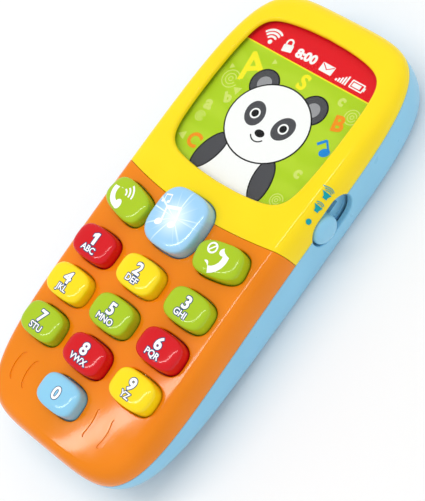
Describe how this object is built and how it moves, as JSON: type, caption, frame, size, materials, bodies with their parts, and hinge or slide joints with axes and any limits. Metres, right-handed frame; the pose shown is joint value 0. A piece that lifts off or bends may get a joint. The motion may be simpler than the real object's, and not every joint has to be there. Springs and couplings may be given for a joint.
{
  "type": "toy cell phone",
  "caption": "Flat two-tone toy handset with cushion keys, a recessed picture screen, a side volume slider and a hinged battery door.",
  "frame": {"origin": "on the flat back, midway between the sides and 82.5 mm from the keypad end; the phone lies on its back", "axes": "+X the phone's right side seen from the front, +Y towards the screen end, +Z out of the face"},
  "size_m": [0.0731, 0.1673, 0.0354],
  "materials": {
    "yellow_plastic": "moulded gloss",
    "orange_plastic": "moulded gloss",
    "blue_plastic": "moulded satin gloss",
    "clear_window": "clear",
    "picture_card": "printed",
    "silicone": "matte",
    "circuit_board": "solder mask",
    "led_lens": "clear epoxy",
    "black_epoxy": "cured epoxy",
    "capacitor_can": "sleeve",
    "switch_steel": "plated",
    "black_nylon": "moulded",
    "speaker_steel": "pressed",
    "speaker_paper": "pressed paper",
    "magnet": "plated",
    "cell_label": "printed sleeve",
    "nickel": "nickel plated",
    "screw_steel": "zinc plated",
    "wire_red": "PVC",
    "wire_black": "PVC",
    "wire_grey": "PVC",
    "key_red": "moulded gloss",
    "key_yellow": "moulded gloss",
    "key_green": "moulded gloss",
    "key_blue": "moulded gloss",
    "light_key_clear": "translucent",
    "knob_blue": "moulded gloss"
  },
  "bodies": {
    "case": {"front_cover_upper": "yellow_plastic", "front_cover_lower": "orange_plastic", "back_cover": "blue_plastic", "screen_window": "clear_window", "picture_card": "picture_card", "keypad_membrane": "silicone", "main_board": "circuit_board", "led": "led_lens", "chip_blob": "black_epoxy", "capacitor": "capacitor_can", "switch_board": "circuit_board", "slide_switch_body": "switch_steel", "speaker_frame": "speaker_steel", "speaker_magnet": "magnet", "speaker_cone": "speaker_paper", "battery_a": "cell_label", "battery_b": "cell_label", "contact_bridge": "nickel", "contact_plate_minus": "nickel", "contact_plate_plus": "nickel", "contact_spring_a": "nickel", "contact_spring_b": "nickel", "battery_wire_red": "wire_red", "battery_wire_black": "wire_black", "speaker_wire_red": "wire_red", "speaker_wire_black": "wire_black", "switch_wire": "wire_grey", "case_screw_0": "screw_steel", "case_screw_1": "screw_steel", "case_screw_2": "screw_steel", "case_screw_3": "screw_steel", "case_screw_4": "screw_steel", "case_screw_5": "screw_steel"},
    "key_0": {"key_0": "key_blue"},
    "key_1": {"key_1": "key_red"},
    "key_2": {"key_2": "key_yellow"},
    "key_3": {"key_3": "key_green"},
    "key_4": {"key_4": "key_yellow"},
    "key_5": {"key_5": "key_green"},
    "key_6": {"key_6": "key_red"},
    "key_7": {"key_7": "key_green"},
    "key_8": {"key_8": "key_red"},
    "key_9": {"key_9": "key_yellow"},
    "call_key": {"call_key": "key_green"},
    "end_call_key": {"end_call_key": "key_green"},
    "light_key": {"light_key": "light_key_clear"},
    "volume_slider": {"volume_knob": "knob_blue", "slide_switch_actuator": "black_nylon"},
    "battery_door": {"battery_door": "blue_plastic"},
    "door_screw": {"door_screw": "screw_steel"}
  },
  "joints": [
    {"name": "key_0_press", "type": "slide", "parent": "case", "child": "key_0", "axis": [0, 0, -1], "range_m": [0, 0.0015], "stiffness_N_per_m": 400, "springref_m": -0.0005, "deforming": ["keypad_membrane"]},
    {"name": "key_1_press", "type": "slide", "parent": "case", "child": "key_1", "axis": [0, 0, -1], "range_m": [0, 0.0015], "stiffness_N_per_m": 400, "springref_m": -0.0005, "deforming": ["keypad_membrane"]},
    {"name": "key_2_press", "type": "slide", "parent": "case", "child": "key_2", "axis": [0, 0, -1], "range_m": [0, 0.0015], "stiffness_N_per_m": 400, "springref_m": -0.0005, "deforming": ["keypad_membrane"]},
    {"name": "key_3_press", "type": "slide", "parent": "case", "child": "key_3", "axis": [0, 0, -1], "range_m": [0, 0.0015], "stiffness_N_per_m": 400, "springref_m": -0.0005, "deforming": ["keypad_membrane"]},
    {"name": "key_4_press", "type": "slide", "parent": "case", "child": "key_4", "axis": [0, 0, -1], "range_m": [0, 0.0015], "stiffness_N_per_m": 400, "springref_m": -0.0005, "deforming": ["keypad_membrane"]},
    {"name": "key_5_press", "type": "slide", "parent": "case", "child": "key_5", "axis": [0, 0, -1], "range_m": [0, 0.0015], "stiffness_N_per_m": 400, "springref_m": -0.0005, "deforming": ["keypad_membrane"]},
    {"name": "key_6_press", "type": "slide", "parent": "case", "child": "key_6", "axis": [0, 0, -1], "range_m": [0, 0.0015], "stiffness_N_per_m": 400, "springref_m": -0.0005, "deforming": ["keypad_membrane"]},
    {"name": "key_7_press", "type": "slide", "parent": "case", "child": "key_7", "axis": [0, 0, -1], "range_m": [0, 0.0015], "stiffness_N_per_m": 400, "springref_m": -0.0005, "deforming": ["keypad_membrane"]},
    {"name": "key_8_press", "type": "slide", "parent": "case", "child": "key_8", "axis": [0, 0, -1], "range_m": [0, 0.0015], "stiffness_N_per_m": 400, "springref_m": -0.0005, "deforming": ["keypad_membrane"]},
    {"name": "key_9_press", "type": "slide", "parent": "case", "child": "key_9", "axis": [0, 0, -1], "range_m": [0, 0.0015], "stiffness_N_per_m": 400, "springref_m": -0.0005, "deforming": ["keypad_membrane"]},
    {"name": "call_key_press", "type": "slide", "parent": "case", "child": "call_key", "axis": [0, 0, -1], "range_m": [0, 0.0015], "stiffness_N_per_m": 400, "springref_m": -0.0005, "deforming": ["keypad_membrane"]},
    {"name": "end_call_key_press", "type": "slide", "parent": "case", "child": "end_call_key", "axis": [0, 0, -1], "range_m": [0, 0.0015], "stiffness_N_per_m": 400, "springref_m": -0.0005, "deforming": ["keypad_membrane"]},
    {"name": "light_key_press", "type": "slide", "parent": "case", "child": "light_key", "axis": [0, 0, -1], "range_m": [0, 0.0015], "stiffness_N_per_m": 400, "springref_m": -0.0005, "deforming": ["keypad_membrane"]},
    {"name": "volume_slide", "type": "slide", "parent": "case", "child": "volume_slider", "axis": [0, 1, 0], "range_m": [0, 0.0074]},
    {"name": "battery_door_swing", "type": "hinge", "parent": "case", "child": "battery_door", "pos_m": [0, 0.01135, 0.00115], "axis": [-1, 0, 0], "range_deg": [0, 75]},
    {"name": "door_screw_turn", "type": "hinge", "parent": "battery_door", "child": "door_screw", "pos_m": [0, 0.0682, 0.0006], "axis": [0, 0, 1], "continuous": true}
  ]
}
